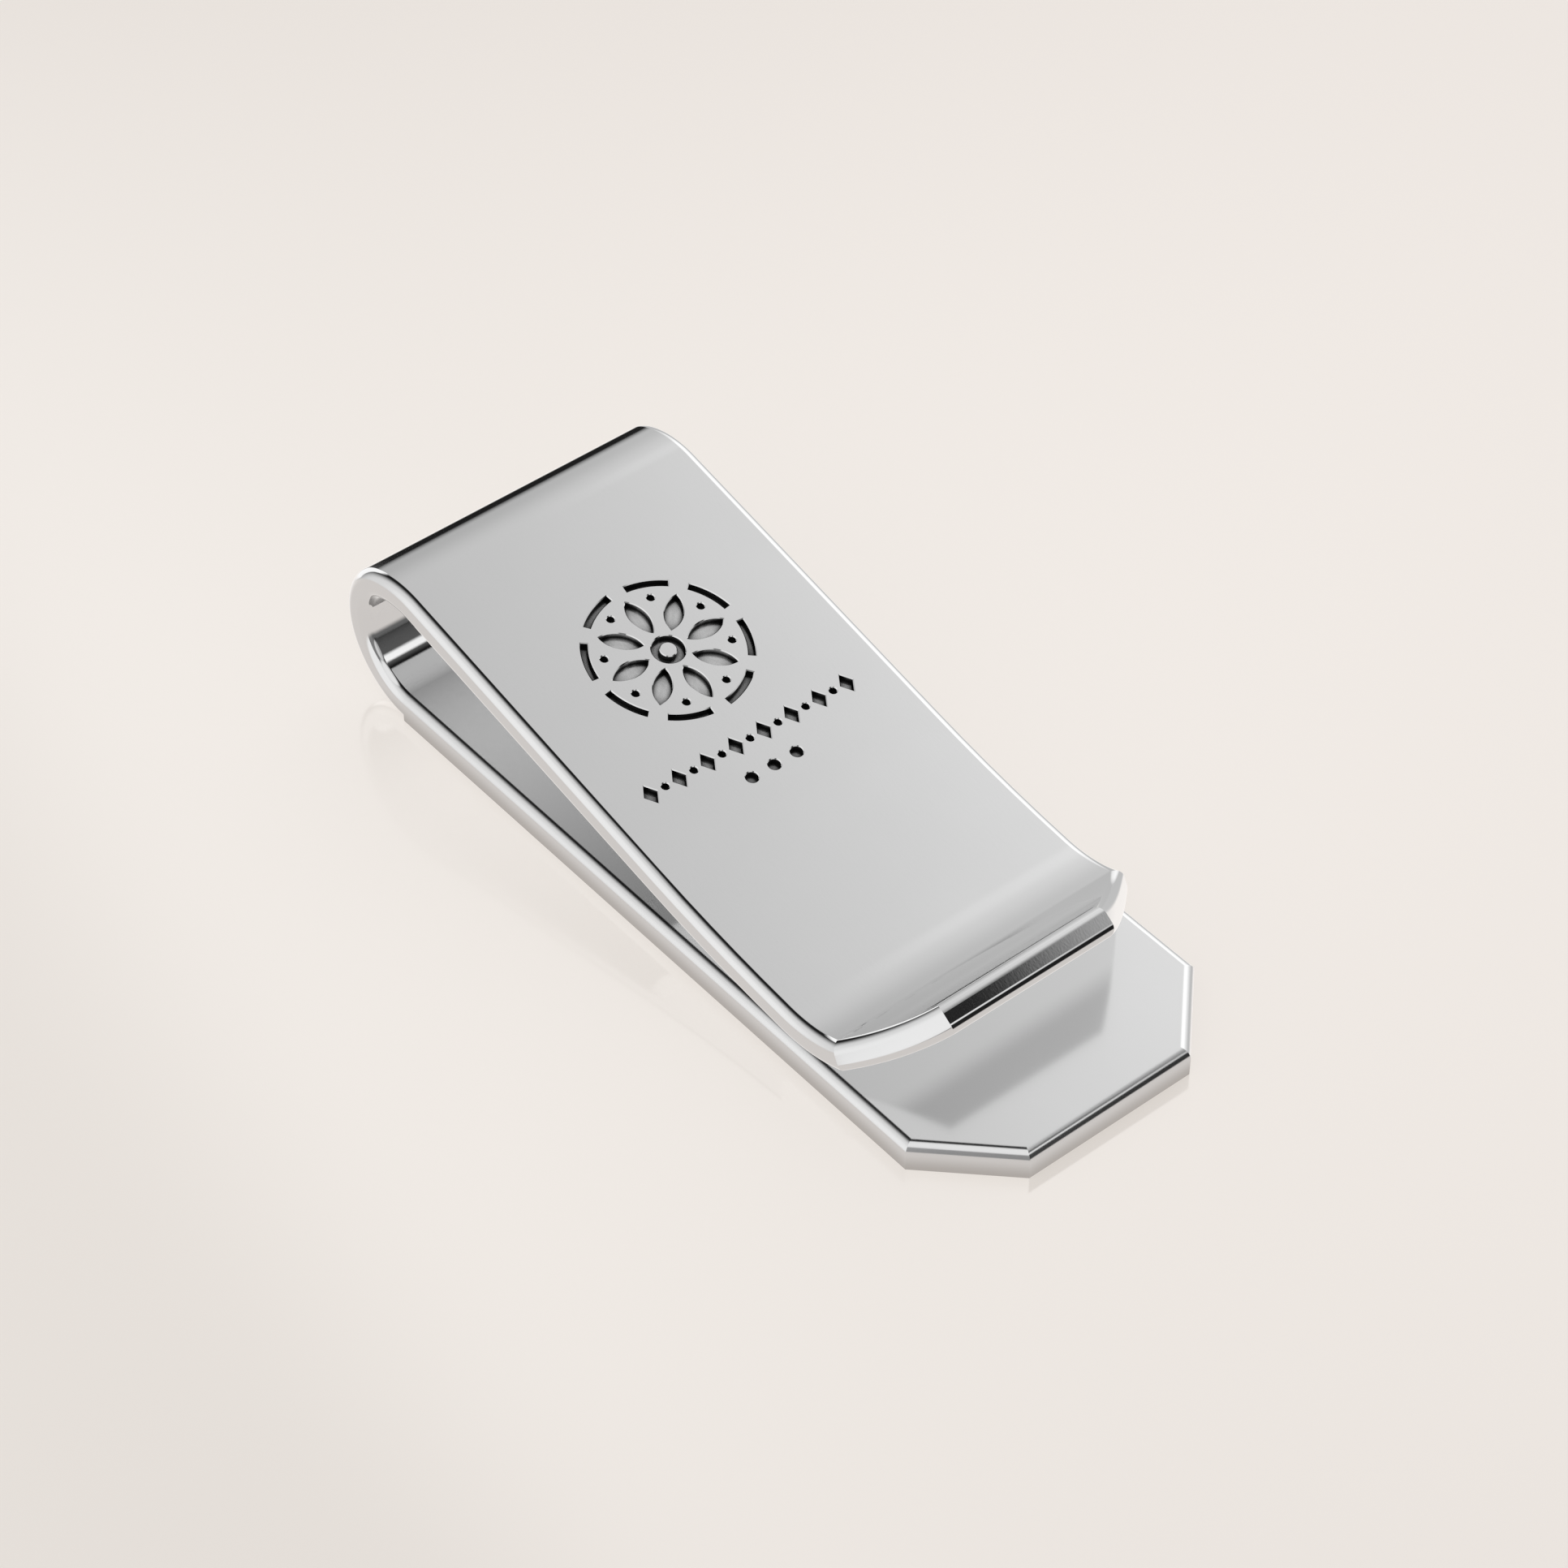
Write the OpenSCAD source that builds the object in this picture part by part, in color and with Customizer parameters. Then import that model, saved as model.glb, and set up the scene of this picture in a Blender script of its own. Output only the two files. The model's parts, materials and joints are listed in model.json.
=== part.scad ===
// Money clip: one strip of metal folded back on itself into a spring.
// The strip lies along X, from the bend at -X to the open end at +X.
// Its underside rests on z = 0. Each node is one zone of the strip.

/* [Strip] */
// Width of the strip
strip_w = 20; // [16:0.5:26]
// Thickness of the strip
strip_t = 1.75; // [1.2:0.05:1.75]
// Radius along the long edges of the strip
edge_r = 0.6; // [0.2:0.05:0.6]
// Chamfer on the end edges
end_chamfer = 0.3; // [0.1:0.05:0.45]
// Length of each clipped corner, measured along the strip
corner_cut = 4.45; // [2:0.05:7]

/* [Base plate] */
// Length of the flat plate, from the bend to the front edge
plate_l = 47.3; // [44:0.1:56]

/* [Spring bend] */
// Outer radius of the back of the bend
back_r = 5.05; // [5:0.05:5.6]
// Outer radius of the crown, above the back
crown_r = 4.05; // [3.8:0.05:5]
// Angle that the crown turns through
crown_sweep = 30.5; // [15:0.5:37.5]
// Outer radius of the shoulder, where the bend meets the arm
shoulder_r = 6.25; // [4.55:0.05:9]
// Angle that the back turns through
back_sweep = 127.2; // [115:0.1:135]

/* [Clip arm] */
// Downward slope of the straight part of the arm, in degrees
arm_slope = 12.1; // [11.8:0.1:12.1]
// Length of the straight part of the arm
arm_flat_l = 21.45; // [19:0.05:21.5]
// Radius of the gentle hollow in the front part of the arm
sag_r = 87.7; // [70:0.1:92.5]
// Angle that the hollow turns through
sag_sweep = 7.1; // [6:0.1:7.9]

/* [Thumb lip] */
// Radius of the upper face of the turned-up lip
lip_r = 7.65; // [6:0.05:10]
// Angle that the lip turns through
lip_sweep = 60.2; // [40:0.1:62]

/* [Engraving] */
// Depth of the engraved ornament
engrave_depth = 0.35; // [0.1:0.05:0.6]
// Distance from the start of the straight arm to the rosette's centre
rosette_at = 10.2; // [8:0.1:11]
// Outer radius of the rosette
rosette_r = 4.8; // [3:0.1:5]
// Number of petals in the rosette
petal_count = 8; // [5:1:10]
// Number of lozenges in the row below the rosette
lozenge_count = 8; // [3:1:8]

/* [Hidden] */
$fn = 96;

// Lengths that only need to reach past the strip
reach = 3 * corner_cut;

// Origin at the middle of the overall length
mid_x = (plate_l - back_r) / 2;

// Outward normal of the strip, in degrees from +X towards +Z, where each zone ends
heel_angle = 270;
flex_half = back_sweep - 90;
flex_from = 180 + flex_half;
flex_to = 180 - flex_half;
crown_angle = flex_to - crown_sweep;
arm_angle = 90 - arm_slope;

// Centres of the arcs, in the side view [x, z] with x = 0 where the plate meets the bend
back_centre = [0, back_r];
crown_centre = back_centre + polar(back_r - crown_r, flex_to);
shoulder_centre = crown_centre + polar(crown_r - shoulder_r, crown_angle);
arm_start = shoulder_centre + polar(shoulder_r, arm_angle);
arm_end = arm_start + polar(arm_flat_l, -arm_slope);
sag_centre = arm_end + polar(sag_r, arm_angle);
sag_end_angle = arm_angle + sag_sweep;
lip_centre = sag_centre - polar(sag_r - lip_r, sag_end_angle);
lip_mid_r = lip_r + strip_t / 2;
lip_end_angle = sag_end_angle + lip_sweep;
cut_mid_angle = lip_end_angle - corner_cut / 2 / lip_mid_r * 180 / PI;

// Smallest gap between the lip's underside and the plate
jaw_gap = lip_centre[1] - lip_r - 2 * strip_t;
assert(jaw_gap > 0, "the arm reaches into the base plate");

// Engraved rows
row_pitch = 1.94;
row_gap = 7.15;
dot_row_gap = 9.25;
lozenge_size = [1.3, 0.85];
dot_r = 0.22;
end_dot_r = 0.36;
petal_from = 1.35;
petal_to = 3.85;
petal_side_r = 1.75;
ring_t = 0.4;
ring_gap_angle = 14;
hub_r = 0.95;
hub_bore_r = 0.5;

function polar(r, a) = [r * cos(a), r * sin(a)];

// Moves a side-view point [x, z] into the model's frame
module at_point(p) {
    translate([p[0] - mid_x, 0, p[1]]) children();
}

// Section across the strip: thickness along X, width along Y, all four edges rounded
module strip_section() {
    inner_t = strip_t / 2 - edge_r;
    inner_w = strip_w / 2 - edge_r;
    square([strip_t, 2 * inner_w], center = true);
    square([2 * inner_t, strip_w], center = true);
    for (sx = [-1, 1]) {
        for (sy = [-1, 1]) {
            translate([sx * inner_t, sy * inner_w]) circle(edge_r);
        }
    }
}

// Section of the base plate: only the two upper edges are rounded
module plate_section() {
    strip_section();
    translate([-strip_t / 4, 0]) square([strip_t / 2, strip_w], center = true);
}

// Strip bent round a centre, from one angle to a larger one
module bent_strip(centre, inner_r, from, to) {
    at_point(centre)
        rotate([90, 0, 0])
            rotate([0, 0, from])
                rotate_extrude(angle = to - from)
                    translate([inner_r + strip_t / 2, 0]) strip_section();
}

// Straight strip from an upper-face point, along a direction in the side view
module straight_strip(start, direction, length) {
    at_point(start)
        rotate([0, -direction, 0])
            translate([0, 0, -strip_t / 2])
                rotate([0, 90, 0])
                    linear_extrude(length) rotate([0, 0, 180]) strip_section();
}

// Everything on the +X side of a plane through the origin
module beyond_plane() {
    translate([0, -reach, -reach]) cube([reach, 2 * reach, 2 * reach]);
}

// What a chamfer removes along the upper (side 1) or lower (side -1) edge of an end face
module end_edge_cut(side) {
    translate([0, 0, side * (strip_t / 2 - end_chamfer)]) rotate([0, -45 * side, 0]) beyond_plane();
}

module base_plate() {
    color("silver")
        difference() {
            at_point([0, 0])
                translate([0, 0, strip_t / 2])
                    rotate([0, 90, 0]) linear_extrude(plate_l) rotate([0, 0, 180]) plate_section();
            at_point([plate_l, strip_t / 2]) end_edge_cut(1);
            for (side = [-1, 1]) {
                at_point([plate_l - corner_cut / 2, strip_t / 2])
                    translate([0, side * (strip_w - corner_cut) / 2, 0])
                        rotate([0, 0, side * 45]) {
                            beyond_plane();
                            end_edge_cut(1);
                        }
            }
        }
}

module lower_bend() {
    color("silver") bent_strip(back_centre, back_r - strip_t, flex_from, heel_angle);
}

module spring_back() {
    color("lightgray") bent_strip(back_centre, back_r - strip_t, flex_to, flex_from);
}

module crown_bend() {
    color("silver") bent_strip(crown_centre, crown_r - strip_t, crown_angle, flex_to);
}

module shoulder_bend() {
    color("silver") bent_strip(shoulder_centre, shoulder_r - strip_t, arm_angle, crown_angle);
}

// Pointed leaf between two radii, along +X
module petal() {
    half_l = (petal_to - petal_from) / 2;
    side_y = sqrt(petal_side_r * petal_side_r - half_l * half_l);
    translate([petal_from + half_l, 0])
        intersection() {
            translate([0, side_y]) circle(petal_side_r);
            translate([0, -side_y]) circle(petal_side_r);
        }
}

// Wedge that leaves a gap in the outer ring, along +X
module ring_gap() {
    half_y = rosette_r * tan(ring_gap_angle / 2) * 1.5;
    polygon([[0, 0], [1.5 * rosette_r, half_y], [1.5 * rosette_r, -half_y]]);
}

// Outer ring, broken in front of each petal
module broken_ring() {
    difference() {
        circle(rosette_r);
        circle(rosette_r - ring_t);
        for (i = [0 : petal_count - 1]) {
            rotate(i * 360 / petal_count) ring_gap();
        }
    }
}

module rosette() {
    step = 360 / petal_count;
    broken_ring();
    difference() {
        circle(hub_r);
        circle(hub_bore_r);
    }
    for (i = [0 : petal_count - 1]) {
        rotate(i * step) petal();
        rotate((i + 0.5) * step) translate([petal_to - dot_r, 0]) circle(dot_r);
    }
}

module lozenge(size) {
    half = size / 2;
    polygon([[half[0], 0], [0, half[1]], [-half[0], 0], [0, -half[1]]]);
}

// A row of lozenges across the strip, with a dot between each pair
module lozenge_row() {
    middle = (lozenge_count - 1) / 2;
    for (i = [0 : lozenge_count - 1]) {
        translate([0, (i - middle) * row_pitch]) lozenge(lozenge_size);
    }
    for (i = [0 : lozenge_count - 2]) {
        translate([0, (i + 0.5 - middle) * row_pitch]) circle(dot_r);
    }
}

// Ornament as drawn on the arm: X along the arm from the rosette's centre, Y across it
module ornament() {
    rosette();
    translate([row_gap, 0]) lozenge_row();
    for (i = [-1 : 1]) {
        translate([dot_row_gap, i * row_pitch * 0.8]) circle(end_dot_r);
    }
}

module clip_arm() {
    color("silver")
        difference() {
            straight_strip(arm_start, -arm_slope, arm_flat_l);
            at_point(arm_start)
                rotate([0, arm_slope, 0])
                    translate([rosette_at, 0, -engrave_depth])
                        linear_extrude(strip_t) ornament();
        }
}

module jaw() {
    color("silver") bent_strip(sag_centre, sag_r, arm_angle + 180, sag_end_angle + 180);
}

module thumb_lip() {
    color("silver")
        difference() {
            bent_strip(lip_centre, lip_r, sag_end_angle + 180, lip_end_angle + 180);
            at_point(lip_centre + polar(lip_mid_r, lip_end_angle + 180))
                rotate([0, 90 - lip_end_angle, 0]) {
                    end_edge_cut(1);
                    end_edge_cut(-1);
                }
            for (side = [-1, 1]) {
                at_point(lip_centre + polar(lip_mid_r, cut_mid_angle + 180))
                    rotate([0, 90 - cut_mid_angle, 0])
                        translate([0, side * (strip_w - corner_cut) / 2, 0])
                            rotate([0, 0, side * 45]) beyond_plane();
            }
        }
}

base_plate();
lower_bend();
spring_back();
crown_bend();
shoulder_bend();
clip_arm();
jaw();
thumb_lip();
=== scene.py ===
"""Polished silver money clip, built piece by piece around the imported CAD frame.

The clip is one strip of metal. Each piece here is one zone of that strip and stands for the
CAD node of the same name. A point of the strip is given as (s, y, n): s along the strip's
middle surface, y across it, n through its thickness.
"""

import json
import math

import bpy
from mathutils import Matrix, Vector
from mathutils.geometry import delaunay_2d_cdt


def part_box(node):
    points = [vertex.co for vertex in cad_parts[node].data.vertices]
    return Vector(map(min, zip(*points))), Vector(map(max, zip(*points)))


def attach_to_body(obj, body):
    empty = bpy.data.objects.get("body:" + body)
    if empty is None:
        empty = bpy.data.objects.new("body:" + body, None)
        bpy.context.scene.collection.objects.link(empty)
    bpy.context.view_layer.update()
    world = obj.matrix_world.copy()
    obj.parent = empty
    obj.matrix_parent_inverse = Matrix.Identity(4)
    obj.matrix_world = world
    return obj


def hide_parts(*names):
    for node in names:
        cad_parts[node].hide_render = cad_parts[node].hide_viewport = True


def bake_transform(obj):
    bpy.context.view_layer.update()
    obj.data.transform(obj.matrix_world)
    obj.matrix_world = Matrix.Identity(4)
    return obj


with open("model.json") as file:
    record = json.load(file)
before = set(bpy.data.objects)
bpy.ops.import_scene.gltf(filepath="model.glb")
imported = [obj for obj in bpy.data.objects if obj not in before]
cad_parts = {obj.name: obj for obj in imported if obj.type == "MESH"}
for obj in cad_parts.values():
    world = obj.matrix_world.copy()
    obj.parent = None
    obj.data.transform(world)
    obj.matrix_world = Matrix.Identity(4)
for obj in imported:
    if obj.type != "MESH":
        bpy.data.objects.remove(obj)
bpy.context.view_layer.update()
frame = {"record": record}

MM = 0.001

# Strip, in millimetres
plate_low, plate_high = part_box("base_plate")
STRIP_W = (plate_high.y - plate_low.y) / MM
STRIP_T = (plate_high.z - plate_low.z) / MM
EDGE_R = 0.6
CORNER_CUT = 4.45

# Side view: radii of the strip's outer side, and how far each bend turns, in degrees
PLATE_L = (plate_high.x - plate_low.x) / MM
BACK_R = 5.05
BACK_SWEEP = 127.2
CROWN_R = 4.05
CROWN_SWEEP = 30.5
SHOULDER_R = 6.25
ARM_SLOPE = 12.1
ARM_FLAT_L = 21.45
SAG_R = 87.7
SAG_SWEEP = 7.1
LIP_R = 7.65
LIP_SWEEP = 60.2

# Engraving on the straight part of the arm, in millimetres, and half of a ring gap in degrees
ENGRAVE_DEPTH = 0.35
RIM_BEVEL = 0.05
ROSETTE_AT = 10.2
ROSETTE_R = 4.8
PETAL_COUNT = 8
PETAL_FROM, PETAL_TO, PETAL_SIDE_R = 1.35, 3.85, 1.75
RING_T = 0.4
RING_GAP_HALF = 7
HUB_R, HUB_BORE_R = 0.95, 0.5
LOZENGE_COUNT = 8
LOZENGE_HALF = (0.65, 0.425)
ROW_PITCH = 1.94
ROW_GAP = 7.15
DOT_ROW_GAP = 9.25
DOT_ROW_PITCH = 0.8 * ROW_PITCH
DOT_R, END_DOT_R = 0.22, 0.36

# Fineness of the meshes
FILLET_STEPS = 10
ROW_ANGLE = 1.5
ROW_LENGTH = 2.5
CIRCLE_STEP = 0.05

# Camera: where it aims on the floor, from which side, and how far away
AIM = Vector((-3.71, 3.10, 0)) * MM
CAM_AZIMUTH, CAM_ELEVATION = 50.35, 44.37
CAM_DISTANCE = 253.5 * MM
LENS, SENSOR = 105.77, 36.0

# Floor, in millimetres: half its side, the centre of the pool of light painted on it, and where that
# painted light starts and stops fading
FLOOR_HALF = 3000
FLOOR_LIGHT_POOL_AT = Vector((-35, -70, 0))
FLOOR_LIGHT_POOL_FADE = (30, 180)
# Floor: its colour inside the painted pool of light and away from it, then how much of it glows, how
# strongly, and how much of it is glossy
FLOOR_IN_LIGHT_POOL, FLOOR_OUT_OF_LIGHT_POOL = (0.875, 0.826, 0.778, 1), (0.675, 0.618, 0.572, 1)
FLOOR_GLOW_SHARE, FLOOR_GLOW = 0.6, 1.5
FLOOR_GLOSS_SHARE = 0.22


# ---------------------------------------------------------------- side view of the strip

def polar(r, degrees):
    a = math.radians(degrees)
    return Vector((r * math.cos(a), r * math.sin(a)))


class Zone:
    """A straight or bent stretch of the strip, seen from the side in millimetres.

    angle is the direction of the upper or outer side at the zone's start. turn is +1 where
    the strip bends away from that side, -1 where it bends towards it, 0 where it is straight.
    """

    def __init__(self, angle, length, turn=0, radius=1.0, centre=None, start=None):
        self.angle, self.length, self.turn, self.radius = angle, length, turn, radius
        self.centre, self.start = centre, start

    def at(self, s):
        """(point on the middle surface, direction along the strip, direction of the outer side)"""
        a = self.angle - self.turn * math.degrees(s / self.radius)
        out = polar(1, a)
        along = Vector((out.y, -out.x))
        if self.turn:
            return self.centre + self.turn * self.radius * out, along, out
        return self.start + s * along, along, out

    def rows(self, until=None):
        until = self.length if until is None else until
        step = math.radians(ROW_ANGLE) * self.radius if self.turn else ROW_LENGTH
        count = max(1, math.ceil(until / min(step, ROW_LENGTH)))
        return [until * i / count for i in range(count + 1)]

    def point(self, s, y, n):
        p, _, out = self.at(s)
        p = p + n * out
        return Vector((p.x - MID_X, y, p.y)) * MM

    def direction(self, s, n, ds, dy, dn):
        """The normal ds, dy, dn of the flat strip, turned with the bent one."""
        _, along, out = self.at(s)
        v = along * (ds / (1 + self.turn * n / self.radius)) + out * dn
        return Vector((v.x, dy, v.y)).normalized()


def bend(centre, outer_r, start_angle, sweep):
    """Zone that bends round a centre on its inner side."""
    r = outer_r - STRIP_T / 2
    return Zone(start_angle, math.radians(sweep) * r, 1, r, centre)


def hollow(centre, upper_r, start_angle, sweep):
    """Zone that bends round a centre above it."""
    r = upper_r + STRIP_T / 2
    return Zone(start_angle, math.radians(sweep) * r, -1, r, centre)


MID_X = (PLATE_L - BACK_R) / 2
FLEX_HALF = BACK_SWEEP - 90
FLEX_FROM, FLEX_TO = 180 + FLEX_HALF, 180 - FLEX_HALF
CROWN_ANGLE = FLEX_TO - CROWN_SWEEP
ARM_ANGLE = 90 - ARM_SLOPE
SAG_ANGLE = ARM_ANGLE + SAG_SWEEP

back_centre = Vector((0, BACK_R))
crown_centre = back_centre + polar(BACK_R - CROWN_R, FLEX_TO)
shoulder_centre = crown_centre + polar(CROWN_R - SHOULDER_R, CROWN_ANGLE)
arm_start = shoulder_centre + polar(SHOULDER_R, ARM_ANGLE)
arm_end = arm_start + polar(ARM_FLAT_L, -ARM_SLOPE)
sag_centre = arm_end + polar(SAG_R, ARM_ANGLE)
lip_centre = sag_centre - polar(SAG_R - LIP_R, SAG_ANGLE)

ZONES = {
    "base_plate": Zone(90, PLATE_L, start=Vector((0, STRIP_T / 2))),
    "lower_bend": bend(back_centre, BACK_R, 270, 270 - FLEX_FROM),
    "spring_back": bend(back_centre, BACK_R, FLEX_FROM, 2 * FLEX_HALF),
    "crown_bend": bend(crown_centre, CROWN_R, FLEX_TO, CROWN_SWEEP),
    "shoulder_bend": bend(shoulder_centre, SHOULDER_R, CROWN_ANGLE, CROWN_ANGLE - ARM_ANGLE),
    "clip_arm": Zone(ARM_ANGLE, ARM_FLAT_L, start=arm_start - polar(STRIP_T / 2, ARM_ANGLE)),
    "jaw": hollow(sag_centre, SAG_R, ARM_ANGLE, SAG_SWEEP),
    "thumb_lip": hollow(lip_centre, LIP_R, SAG_ANGLE, LIP_SWEEP),
}


# ---------------------------------------------------------------- building closed surfaces

# Material slots of a piece: the side away from the gap, the side that faces it, and what only
# one piece has: the arm's engraving, the lip's rim
OUTER, INNER, OWN = range(3)


class Shell:
    """A surface under construction: welded points, and faces with a normal at each corner."""

    def __init__(self, zone):
        self.zone = zone
        self.gap_side = 1 if zone is ZONES["base_plate"] else -1
        self.points, self.index, self.faces, self.slots, self.normals = [], {}, [], [], []

    def face(self, corners, slot=OUTER):
        """corners: ((s, y, n), (ds, dy, dn)) in order round the face, either way round."""
        ids, found = [], []
        for place, normal in corners:
            p = self.zone.point(*place)
            key = tuple(round(c / MM, 4) for c in p)
            if key not in self.index:
                self.index[key] = len(self.points)
                self.points.append(p)
            if self.index[key] not in ids:
                ids.append(self.index[key])
                found.append(self.zone.direction(place[0], place[2], *normal))
        if len(ids) < 3:
            return
        flat = Vector()
        for a, b in zip(ids, ids[1:] + ids[:1]):
            flat += self.points[a].cross(self.points[b])
        if flat.dot(sum(found, Vector())) < 0:
            ids.reverse()
            found.reverse()
        self.faces.append(ids)
        self.slots.append(slot)
        self.normals += found

    def slot(self, up):
        return INNER if up * self.gap_side > 0 else OUTER

    def to_object(self, name, materials):
        mesh = bpy.data.meshes.new(name)
        mesh.from_pydata([tuple(p) for p in self.points], [], self.faces)
        for m in materials:
            mesh.materials.append(m)
        mesh.polygons.foreach_set("material_index", self.slots)
        mesh.polygons.foreach_set("use_smooth", [True] * len(self.faces))
        mesh.update()
        mesh.normals_split_custom_set([tuple(n) for n in self.normals])
        piece = bpy.data.objects.new(name, mesh)
        bpy.context.scene.collection.objects.link(piece)
        return piece


def section(sharp_bottom=False):
    """Edge of the strip from its upper face down to its lower one: (inset, n, out, up)."""
    steps = [math.radians(90 * k / FILLET_STEPS) for k in range(FILLET_STEPS + 1)]
    top = [(EDGE_R * (1 - math.sin(a)), STRIP_T / 2 - EDGE_R * (1 - math.cos(a)),
            math.sin(a), math.cos(a)) for a in steps]
    if sharp_bottom:
        return top + [(0, -STRIP_T / 2, 1, 0)]
    return top + [(d, -n, out, -up) for d, n, out, up in reversed(top)]


def half_width(inset):
    return STRIP_W / 2 - inset


def side_edge(zone, sign, end=None):
    """A long side: a function from the inset to its points, and the way it faces."""
    def line(inset):
        until = zone.length if end is None else end(inset)
        scale = until / zone.length
        return [(s * scale, sign * half_width(inset)) for s in zone.rows()]
    return line, (0, sign)


def clip_from(zone):
    """Where the clipped corner starts along the strip, for an inset outline."""
    return lambda inset: zone.length - CORNER_CUT + inset * (1 - math.sqrt(2))


def cut_edge(zone, sign):
    """A clipped corner, from the long side to the end."""
    count = len(zone.rows(CORNER_CUT)) - 1 if zone.turn else 1

    def line(inset):
        s0, s1 = clip_from(zone)(inset), zone.length - inset
        return [(s0 + (s1 - s0) * i / count, sign * (half_width(inset) - (s1 - s0) * i / count))
                for i in range(count + 1)]
    return line, (math.sqrt(0.5), sign * math.sqrt(0.5))


def end_edge(zone):
    """The end of the strip, between its clipped corners."""
    def line(inset):
        y = half_width(inset) - (zone.length - inset - clip_from(zone)(inset))
        return [(zone.length - inset, y * t) for t in (-1, 1)]
    return line, (1, 0)


def edge_bands(shell, edge, profile):
    """Fillets and wall along one edge of the strip."""
    line, (es, ey) = edge
    for (d0, n0, out0, up0), (d1, n1, out1, up1) in zip(profile, profile[1:]):
        slot = OWN if shell.zone is ZONES["thumb_lip"] else shell.slot(min(up0, up1, key=abs))
        a, b = line(d0), line(d1)
        normal_a, normal_b = (es * out0, ey * out0, up0), (es * out1, ey * out1, up1)
        for i in range(len(a) - 1):
            shell.face([((*a[i], n0), normal_a), ((*a[i + 1], n0), normal_a),
                        ((*b[i + 1], n1), normal_b), ((*b[i], n1), normal_b)], slot)


def broad_face(shell, lines, inset, n, up):
    """Upper or lower face, in rows across the strip between its near and far outlines."""
    near = [p for line in lines for p in line(inset)]
    for (s0, y0), (s1, y1) in zip(near, near[1:]):
        shell.face([((s0, -y0, n), (0, 0, up)), ((s0, y0, n), (0, 0, up)),
                    ((s1, y1, n), (0, 0, up)), ((s1, -y1, n), (0, 0, up))], shell.slot(up))


def cap(shell, s, facing, profile):
    """Flat closing face across the strip, where the next zone meets it."""
    ring = [(s, -half_width(d), n) for d, n, _, _ in profile]
    ring += [(s, half_width(d), n) for d, n, _, _ in reversed(profile)]
    shell.face([(p, (facing, 0, 0)) for p in ring])


def through_zone(zone, upper=broad_face):
    """Closed stretch of strip with a neighbour at both ends."""
    shell, profile = Shell(zone), section()
    near, far = side_edge(zone, -1), side_edge(zone, 1)
    edge_bands(shell, near, profile)
    edge_bands(shell, far, profile)
    upper(shell, [near[0]], EDGE_R, STRIP_T / 2, 1)
    broad_face(shell, [near[0]], EDGE_R, -STRIP_T / 2, -1)
    cap(shell, 0, -1, profile)
    cap(shell, zone.length, 1, profile)
    return shell


def end_zone(zone, sharp_bottom=False):
    """Closed stretch of strip that ends in two clipped corners."""
    shell, profile = Shell(zone), section(sharp_bottom)
    near, near_cut = side_edge(zone, -1, clip_from(zone)), cut_edge(zone, -1)
    far, far_cut = side_edge(zone, 1, clip_from(zone)), cut_edge(zone, 1)
    for edge in (near, near_cut, end_edge(zone), far_cut, far):
        edge_bands(shell, edge, profile)
    broad_face(shell, [near[0], near_cut[0]], EDGE_R, STRIP_T / 2, 1)
    broad_face(shell, [near[0], near_cut[0]], 0 if sharp_bottom else EDGE_R, -STRIP_T / 2, -1)
    cap(shell, 0, -1, profile)
    return shell


# ---------------------------------------------------------------- engraved ornament

def arc_points(centre, r, from_deg, to_deg):
    count = max(3, math.ceil(math.radians(abs(to_deg - from_deg)) * r / CIRCLE_STEP))
    return [centre + polar(r, from_deg + (to_deg - from_deg) * i / count) for i in range(count + 1)]


def circle(centre, r):
    return arc_points(centre, r, 0, 360)[:-1]


def petal():
    """Pointed leaf along +X, from its inner tip round to the start again."""
    half_l = (PETAL_TO - PETAL_FROM) / 2
    side = math.sqrt(PETAL_SIDE_R ** 2 - half_l ** 2)
    middle = Vector((PETAL_FROM + half_l, 0))
    spread = math.degrees(math.asin(half_l / PETAL_SIDE_R))
    lower = arc_points(middle + Vector((0, side)), PETAL_SIDE_R, 270 - spread, 270 + spread)
    upper = arc_points(middle - Vector((0, side)), PETAL_SIDE_R, 90 - spread, 90 + spread)
    return lower[:-1] + upper[:-1]


def ring_segment():
    """One stretch of the broken ring, between the gaps in front of two petals."""
    start, end = RING_GAP_HALF, 360 / PETAL_COUNT - RING_GAP_HALF
    outer = arc_points(Vector((0, 0)), ROSETTE_R, start, end)
    inner = arc_points(Vector((0, 0)), ROSETTE_R - RING_T, end, start)
    return outer + inner


def turned(outline, degrees):
    c, s = polar(1, degrees)
    return [Vector((c * p.x - s * p.y, s * p.x + c * p.y)) for p in outline]


def moved(outline, x, y):
    return [p + Vector((x, y)) for p in outline]


def recesses():
    """Outlines of the recesses, as (outer outline, island or None), from the rosette's centre."""
    step = 360 / PETAL_COUNT
    found = [(circle(Vector((0, 0)), HUB_R), circle(Vector((0, 0)), HUB_BORE_R))]
    for i in range(PETAL_COUNT):
        found.append((turned(petal(), i * step), None))
        found.append((turned(ring_segment(), i * step), None))
        found.append((circle(polar(PETAL_TO - DOT_R, (i + 0.5) * step), DOT_R), None))
    a, b = LOZENGE_HALF
    lozenge = [Vector((a, 0)), Vector((0, b)), Vector((-a, 0)), Vector((0, -b))]
    middle = (LOZENGE_COUNT - 1) / 2
    for i in range(LOZENGE_COUNT):
        found.append((moved(lozenge, ROW_GAP, (i - middle) * ROW_PITCH), None))
    for i in range(LOZENGE_COUNT - 1):
        found.append((circle(Vector((ROW_GAP, (i + 0.5 - middle) * ROW_PITCH)), DOT_R), None))
    for i in (-1, 0, 1):
        found.append((circle(Vector((DOT_ROW_GAP, i * DOT_ROW_PITCH)), END_DOT_R), None))
    return found


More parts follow.
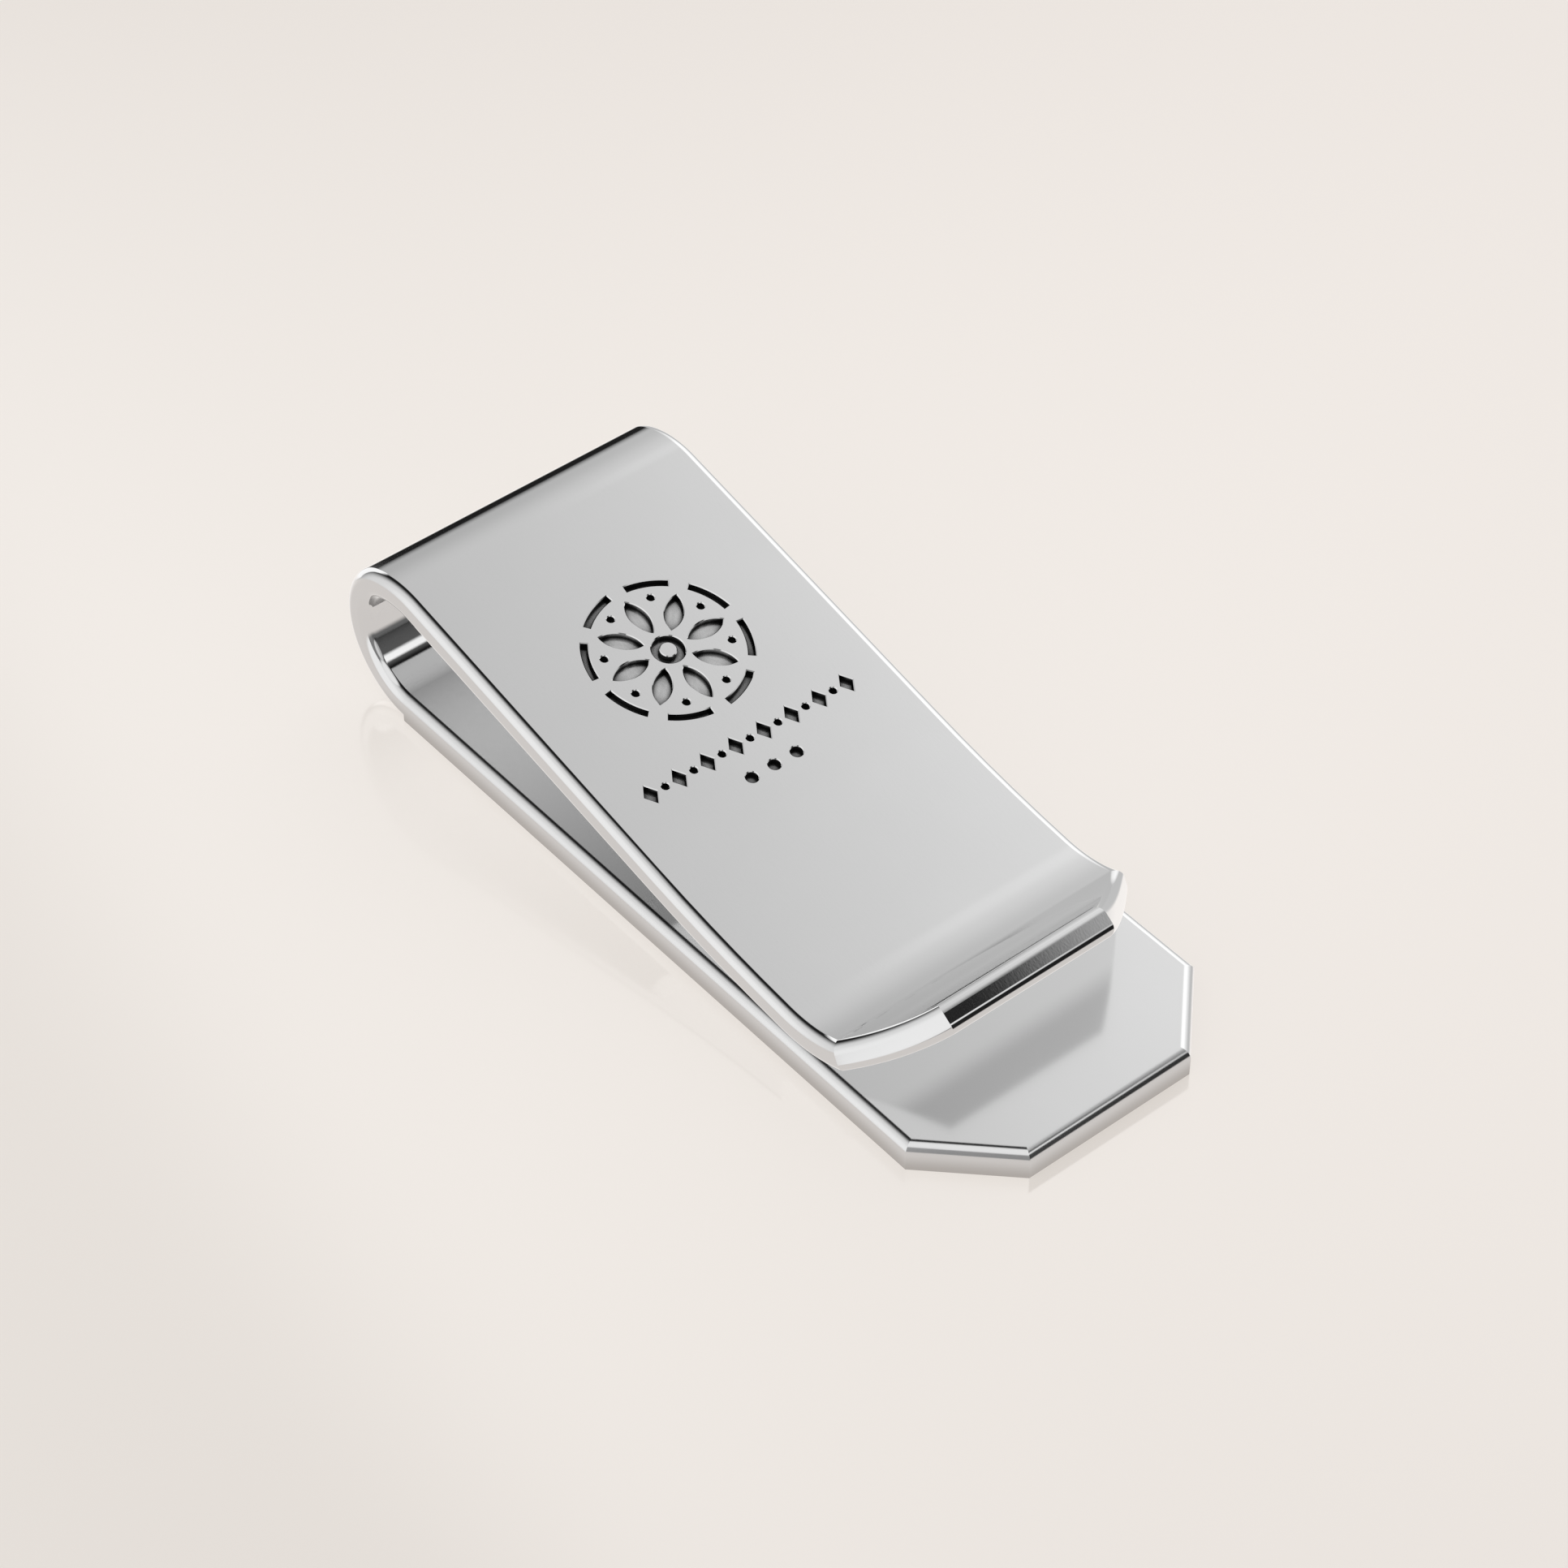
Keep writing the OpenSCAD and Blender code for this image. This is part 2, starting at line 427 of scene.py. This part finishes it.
def outward(outline):
    """Unit direction away from the enclosed area at each corner, scaled to keep a bevel even."""
    area = sum(a.x * b.y - a.y * b.x for a, b in zip(outline, outline[1:] + outline[:1]))
    sign = 1 if area > 0 else -1
    sides = [(b - a).normalized() for a, b in zip(outline, outline[1:] + outline[:1])]
    normals = [sign * Vector((d.y, -d.x)) for d in sides]
    found = []
    for before, after in zip(normals[-1:] + normals[:-1], normals):
        both = (before + after).normalized()
        found.append(both / max(0.5, both.dot(after)))
    return found, normals


def rim_and_wall(shell, outline, away, top, bottom):
    """Bevelled rim and upright wall of one recess. away is +1 round a recess, -1 round an island."""
    grow, normals = outward(outline)
    wide = [p + g * RIM_BEVEL * away for p, g in zip(outline, grow)]
    count = len(outline)
    slope = math.sqrt(0.5)
    for i in range(count):
        j = (i + 1) % count
        into = -normals[i] * away
        bevel = (into.x * slope, into.y * slope, slope)
        upright = (into.x, into.y, 0)
        a, b, c, d = wide[i], wide[j], outline[j], outline[i]
        shell.face([((*a, top), bevel), ((*b, top), bevel),
                    ((*c, top - RIM_BEVEL), bevel), ((*d, top - RIM_BEVEL), bevel)])
        shell.face([((*d, top - RIM_BEVEL), upright), ((*c, top - RIM_BEVEL), upright),
                    ((*c, bottom), upright), ((*d, bottom), upright)], OWN)
    return wide


def fill(shell, border, holes, n, slot):
    """Flat face at height n inside the border, with holes left open."""
    loops = [border] + holes
    points = [p for loop in loops for p in loop]
    edges, start = [], 0
    for loop in loops:
        edges += [(start + i, start + (i + 1) % len(loop)) for i in range(len(loop))]
        start += len(loop)
    verts, _, triangles, *_ = delaunay_2d_cdt(points, edges, [], 1, 1e-6)
    for ids in triangles:
        corners = [verts[i] for i in ids]
        middle = sum(corners, Vector((0, 0))) / 3
        if not any(inside(middle, hole) for hole in holes):
            shell.face([((*p, n), (0, 0, 1)) for p in corners], slot)


def inside(p, outline):
    found = False
    for a, b in zip(outline, outline[1:] + outline[:1]):
        if (a.y > p.y) != (b.y > p.y) and p.x < a.x + (b.x - a.x) * (p.y - a.y) / (b.y - a.y):
            found = not found
    return found


def engraved_face(shell, lines, inset, n, up):
    """Upper face of the arm, with the ornament sunk into it."""
    near = lines[0](inset)
    border = [Vector(p) for p in near] + [Vector((s, -y)) for s, y in reversed(near)]
    floor = n - ENGRAVE_DEPTH
    holes, islands = [], []
    for outline, island in recesses():
        outline = moved(outline, ROSETTE_AT, 0)
        inner = [] if island is None else [moved(island, ROSETTE_AT, 0)]
        holes.append(rim_and_wall(shell, outline, 1, n, floor))
        for loop in inner:
            islands.append(rim_and_wall(shell, loop, -1, n, floor))
        fill(shell, outline, inner, floor, OWN)
    fill(shell, border, holes, n, OUTER)
    for top in islands:
        fill(shell, top, [], n, OUTER)


# ---------------------------------------------------------------- materials

class Nodes:
    """Short names for the node operations that the materials and the studio use."""

    def __init__(self, tree):
        self.tree = tree
        tree.nodes.clear()

    def add(self, kind, **settings):
        node = self.tree.nodes.new(kind)
        for key, value in settings.items():
            setattr(node, key, value)
        return node

    def set(self, socket, value):
        if isinstance(value, bpy.types.NodeSocket):
            self.tree.links.new(value, socket)
        else:
            socket.default_value = value

    def math(self, operation, a, b=0.0, c=0.0):
        node = self.add("ShaderNodeMath", operation=operation)
        for socket, value in zip(node.inputs, (a, b, c)):
            self.set(socket, value)
        return node.outputs[0]

    def product(self, *values):
        found = values[0]
        for value in values[1:]:
            found = self.math("MULTIPLY", found, value)
        return found

    def scaled(self, value, factor, plus):
        return self.math("MULTIPLY_ADD", value, factor, plus)

    def smooth(self, value, low, high):
        """0 below low, 1 above high, eased between them. low may be the larger."""
        node = self.add("ShaderNodeMapRange", interpolation_type="SMOOTHSTEP")
        flip = low > high
        for key, v in (("Value", value), ("From Min", min(low, high)), ("From Max", max(low, high)),
                       ("To Min", float(flip)), ("To Max", float(not flip))):
            self.set(node.inputs[key], v)
        return node.outputs["Result"]

    def dot(self, vector, axis):
        node = self.add("ShaderNodeVectorMath", operation="DOT_PRODUCT")
        self.set(node.inputs[0], vector)
        self.set(node.inputs[1], axis)
        return node.outputs["Value"]

    def mix(self, fac, a, b):
        node = self.add("ShaderNodeMix", data_type="RGBA")
        self.set(node.inputs["Factor"], fac)
        self.set(node.inputs[6], a)
        self.set(node.inputs[7], b)
        return node.outputs[2]

    def mix_shader(self, fac, a, b):
        node = self.add("ShaderNodeMixShader")
        for socket, value in zip(node.inputs, (fac, a, b)):
            self.set(socket, value)
        return node.outputs[0]

    def noise(self, vector, scale, detail=2.0, roughness=0.5):
        node = self.add("ShaderNodeTexNoise")
        self.set(node.inputs["Vector"], vector)
        for key, v in (("Scale", scale), ("Detail", detail), ("Roughness", roughness)):
            self.set(node.inputs[key], v)
        return node.outputs["Fac"]

    def finish(self, kind, shader):
        self.set(self.add(kind).inputs["Surface"], shader)


def new_material(name):
    """(material, its nodes, the socket that tells the place on the object)"""
    material = bpy.data.materials.new(name)
    material.use_nodes = True
    n = Nodes(material.node_tree)
    return material, n, n.add("ShaderNodeTexCoord").outputs["Object"]


def grey(v, warmth=0.0):
    """Opaque colour of lightness v, a little warmer with warmth."""
    return (v, v * (1 - 0.5 * warmth), v * (1 - warmth), 1.0)


def metal(n, colour, roughness, height, strength, distance):
    """Metal whose colour, roughness and fine relief come from the given sockets."""
    shader = n.add("ShaderNodeBsdfPrincipled")
    shader.inputs["Metallic"].default_value = 1.0
    n.set(shader.inputs["Base Color"], colour)
    n.set(shader.inputs["Roughness"], roughness)
    bump = n.add("ShaderNodeBump")
    bump.inputs["Strength"].default_value = strength
    bump.inputs["Distance"].default_value = distance
    n.set(bump.inputs["Height"], height)
    n.set(shader.inputs["Normal"], bump.outputs["Normal"])
    return shader.outputs[0]


def let_through(n, shader, rays, tint):
    """Finishes a material that is solid to the eye, and a veil of the given tint to mirrored rays.

    rays names the Light Path output that tells those rays apart.
    """
    veil = n.add("ShaderNodeBsdfTransparent")
    n.set(veil.inputs["Color"], tint)
    told_apart = n.add("ShaderNodeLightPath").outputs[rays]
    n.finish("ShaderNodeOutputMaterial", n.mix_shader(told_apart, shader, veil.outputs[0]))


def silver(name, rays, soft=0.035, low=None, high=None):
    """Mirror polish with the soft, uneven sheen and hairlines of a handled piece, and painted shade
    that darkens its colour near the floor.

    soft is the least roughness. low and high are (height in millimetres, tint of the veil there),
    and without them the veil is clear.
    """
    material, n, place = new_material(name)
    z = n.dot(place, (0, 0, 1))
    cloud = n.noise(place, 140.0, 3.0)
    along = n.add("ShaderNodeMapping")
    n.set(along.inputs["Vector"], place)
    along.inputs["Scale"].default_value = (900.0, 9000.0, 9000.0)
    hairline = n.noise(along.outputs["Vector"], 1.0, 2.0, 0.6)
    polish = n.mix(cloud, grey(0.79), grey(0.83))
    # Painted contact shade: towards the floor the colour darkens to a warm grey, standing in for shade
    # at the foot of the walls.
    painted_floor_shade = n.smooth(z, 0.0, STRIP_T * 0.8 * MM)
    colour = n.mix(painted_floor_shade, grey(0.56, 0.06), polish)
    roughness = n.scaled(cloud, 0.03, soft)
    tint = grey(1.0)
    if low and high:
        tint = n.mix(n.smooth(z, low[0] * MM, high[0] * MM), grey(low[1]), grey(high[1]))
    let_through(n, metal(n, colour, roughness, hairline, 0.02, 0.00002), rays, tint)
    return material


def satin_recess():
    """Floor and walls of the engraving: cut metal, with painted shade that darkens its colour into its
    corners.
    """
    material, n, place = new_material("satin_recess")
    grain = n.noise(place, 2600.0, 4.0, 0.65)
    # Painted shade: ambient occlusion darkens the colour to near black in the recess's corners and
    # down its walls.
    corner = n.add("ShaderNodeAmbientOcclusion", samples=8, only_local=True)
    corner.inputs["Distance"].default_value = 2 * ENGRAVE_DEPTH * MM
    open_metal = n.mix(grain, grey(0.68), grey(0.76))
    colour = n.mix(n.smooth(corner.outputs["AO"], 0.45, 0.95), grey(0.04), open_metal)
    roughness = n.scaled(grain, 0.1, 0.15)
    let_through(n, metal(n, colour, roughness, grain, 0.08, 0.00005), "Transparent Depth", grey(1.0))
    return material


def pale_floor():
    """Cream sweep with a faint gloss and a painted pool of light: a little darker away from the pool's
    centre.
    """
    material, n, place = new_material("pale_floor")
    # Painted pool of light: the colour darkens with distance from its centre.
    away = n.add("ShaderNodeVectorMath", operation="DISTANCE")
    n.set(away.inputs[0], place)
    away.inputs[1].default_value = (FLOOR_LIGHT_POOL_AT * MM)[:]
    fade = n.smooth(away.outputs["Value"], *(distance * MM for distance in FLOOR_LIGHT_POOL_FADE))
    colour = n.mix(fade, FLOOR_IN_LIGHT_POOL, FLOOR_OUT_OF_LIGHT_POOL)
    diffuse = n.add("ShaderNodeBsdfDiffuse")
    n.set(diffuse.inputs["Color"], colour)
    glow = n.add("ShaderNodeEmission")
    n.set(glow.inputs["Color"], colour)
    glow.inputs["Strength"].default_value = FLOOR_GLOW
    gloss = n.add("ShaderNodeBsdfGlossy")
    gloss.inputs["Roughness"].default_value = 0.1
    lit = n.mix_shader(FLOOR_GLOW_SHARE, diffuse.outputs[0], glow.outputs[0])
    coated = n.mix_shader(FLOOR_GLOSS_SHARE, lit, gloss.outputs[0])
    n.finish("ShaderNodeOutputMaterial", coated)
    return material


# ---------------------------------------------------------------- studio

# Each panel's level depends on the direction looked in: x, y and z are its parts along the axes.

def back_panel(n, x, y, z):
    """Starts along a crisp slanting line, brightens away from it, and fades to the right.

    A slightly brighter ridge runs down its left part.
    """
    crisp = n.smooth(n.scaled(x, -0.06, y), 0.33, 0.39)
    level = n.scaled(crisp, 0.6, n.product(n.smooth(y, 0.36, 0.72), 0.78))
    level = n.product(level, n.smooth(x, 0.41, 0.34), n.smooth(z, -0.07, 0.17))
    level = n.product(level, n.scaled(n.smooth(z, 0.2, 0.7), 0.22, 0.78))
    fade = n.product(n.smooth(x, -0.25, 0.5), n.smooth(y, 0.42, 0.48))
    ridge = n.product(n.smooth(x, -0.42, -0.52), n.smooth(x, -0.68, -0.56), n.smooth(y, 0.44, 0.465))
    return n.product(level, n.scaled(fade, -0.9, 1.0), n.scaled(ridge, 0.06, 1.0))


def slim_panel(n, x, y, z):
    """Upright strip to the right of the back panel."""
    level = n.product(n.smooth(x, 0.54, 0.62), n.smooth(x, 0.78, 0.7))
    return n.product(level, n.smooth(y, 0.2, 0.35), n.smooth(y, 0.6, 0.36), n.smooth(z, 0.3, 0.5), 1.5)


def high_fill(n, y, z):
    """Half light high up on the far side, seen where no brighter panel covers it."""
    return n.product(n.smooth(y, 0.465, 0.505), n.smooth(z, 0.5, 0.68), 0.5)


def far_glow(n, x, y, z):
    """On the far side, and a narrower part of it that starts sooner on the left."""
    broad = n.product(n.smooth(y, 0.6, 0.8), n.scaled(n.smooth(z, 0.1, 0.5), 0.2, 0.62))
    left = n.product(n.smooth(y, 0.468, 0.484), n.smooth(x, -0.2, -0.5), 0.58)
    return n.math("MAXIMUM", broad, left)


def front_wash(n, x, y):
    """Brightens towards the front, and ends at an upright edge."""
    level = n.scaled(n.smooth(y, 0.08, -0.6), 0.82, n.product(n.smooth(y, -0.6, -0.9), 0.18))
    return n.product(level, n.smooth(n.scaled(y, 0.86, x), 0.045, -0.045))


def left_lamp(n, x, y, z):
    """Beyond the fold, with a lower edge that slants."""
    level = n.product(n.smooth(x, -0.82, -0.88), n.smooth(y, 0.41, 0.385))
    return n.product(level, n.smooth(n.scaled(z, -0.47, y), -0.2, -0.06), n.smooth(z, 0.5, 0.3), 1.15)


def round_panel(n, look, towards, low, high, level):
    """Disc round a direction. low and high are the cosines where its light starts and is full."""
    cosine = n.dot(look, Vector(towards).normalized()[:])
    return n.product(n.smooth(cosine, low, high), level)


def dark_room(n, x, y):
    """A little light at the front, and a glimmer on the right."""
    dim = n.scaled(n.smooth(y, 0.0, -0.4), 0.22, 0.015)
    glimmer = n.product(n.smooth(x, 0.4, 0.6), n.smooth(y, 0.47, 0.41), 0.14)
    return n.math("MAXIMUM", dim, glimmer)


def studio_world():
    """Soft panels round a dark room, and a pale surround below the horizon."""
    world = bpy.data.worlds.new("studio")
    bpy.context.scene.world = world
    world.use_nodes = True
    n = Nodes(world.node_tree)
    look = n.add("ShaderNodeTexCoord").outputs["Generated"]
    x, y, z = (n.dot(look, axis) for axis in ((1, 0, 0), (0, 1, 0), (0, 0, 1)))
    overhead = round_panel(n, look, (0.3, -0.32, 0.9), 0.8, 0.93, 0.93)
    side = round_panel(n, look, (0.9, -0.1, 0.4), 0.9, 0.96, 0.7)

    sky = dark_room(n, x, y)
    for panel in (back_panel(n, x, y, z), slim_panel(n, x, y, z), high_fill(n, y, z),
                  far_glow(n, x, y, z), front_wash(n, x, y), left_lamp(n, x, y, z), overhead, side):
        sky = n.math("MAXIMUM", sky, panel)
    room = n.add("ShaderNodeCombineColor")
    for socket in room.inputs:
        n.set(socket, sky)

    # Below a slightly tilted line the floor's tone takes over, brighter at the far left
    below = n.smooth(n.scaled(x, -0.14, z), -0.24, -0.43)
    rear = n.smooth(n.dot(look, (-0.6, 0.6, 0.0)), 0.1, 0.75)
    floor_tone = n.mix(rear, (0.74, 0.705, 0.68, 1), (1.08, 1.04, 1.01, 1))
    background = n.add("ShaderNodeBackground")
    n.set(background.inputs["Color"], n.mix(below, room.outputs[0], floor_tone))
    background.inputs["Strength"].default_value = 1.0
    n.finish("ShaderNodeOutputWorld", background.outputs[0])


def studio_floor():
    mesh = bpy.data.meshes.new("floor")
    half = FLOOR_HALF * MM
    corners = [(-half, -half, 0), (half, -half, 0), (half, half, 0), (-half, half, 0)]
    mesh.from_pydata(corners, [], [(0, 1, 2, 3)])
    mesh.materials.append(pale_floor())
    floor = bpy.data.objects.new("floor", mesh)
    bpy.context.scene.collection.objects.link(floor)
    floor.visible_glossy = False


def camera():
    data = bpy.data.cameras.new("camera")
    data.lens, data.sensor_width = LENS, SENSOR
    data.clip_start, data.clip_end = 0.01, 10.0
    obj = bpy.data.objects.new("camera", data)
    bpy.context.scene.collection.objects.link(obj)
    a, e = math.radians(CAM_AZIMUTH), math.radians(CAM_ELEVATION)
    back = Vector((math.sin(a) * math.cos(e), -math.cos(a) * math.cos(e), math.sin(e)))
    obj.location = AIM + back * CAM_DISTANCE
    obj.rotation_mode = "QUATERNION"
    obj.rotation_quaternion = (-back).to_track_quat("-Z", "Y")
    bpy.context.scene.camera = obj


# ---------------------------------------------------------------- the clip

def shell_of(node):
    zone = ZONES[node]
    if node == "base_plate":
        return end_zone(zone, sharp_bottom=True)
    if node == "thumb_lip":
        return end_zone(zone)
    if node == "clip_arm":
        return through_zone(zone, upper=engraved_face)
    return through_zone(zone)


def attach(piece, node):
    """The piece moves with its node's body; the back of the spring keeps its place, with its transform
    baked into its mesh.
    """
    if node == "spring_back":
        low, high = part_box(node)
        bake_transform(piece)
    else:
        bodies = frame["record"]["behaviour"]["bodies"]
        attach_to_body(piece, next(body for body, nodes in bodies.items() if node in nodes))
    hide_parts(node)


def money_clip():
    outer = silver("silver", "Transparent Depth")
    plate = silver("silver_plate_top", "Is Glossy Ray", soft=0.15)
    clear = silver("silver_rim", "Is Glossy Ray")
    # The tints set how dark the arm and its tip look where the plate mirrors them
    arm = silver("silver_inside", "Is Glossy Ray", low=(3.0, 0.36), high=(8.9, 0.86))
    tip = silver("silver_tip_inside", "Is Glossy Ray", low=(3.3, 0.86), high=(4.2, 0.62))
    recess = satin_recess()
    inside = {"base_plate": plate, "lower_bend": clear, "jaw": tip, "thumb_lip": tip}
    own = {"clip_arm": [recess], "thumb_lip": [clear]}
    for node in ZONES:
        materials = [outer, inside.get(node, arm)] + own.get(node, [])
        attach(shell_of(node).to_object(node + "_metal", materials), node)


bpy.context.scene.view_settings.view_transform = "Standard"
camera()
money_clip()
studio_floor()
studio_world()
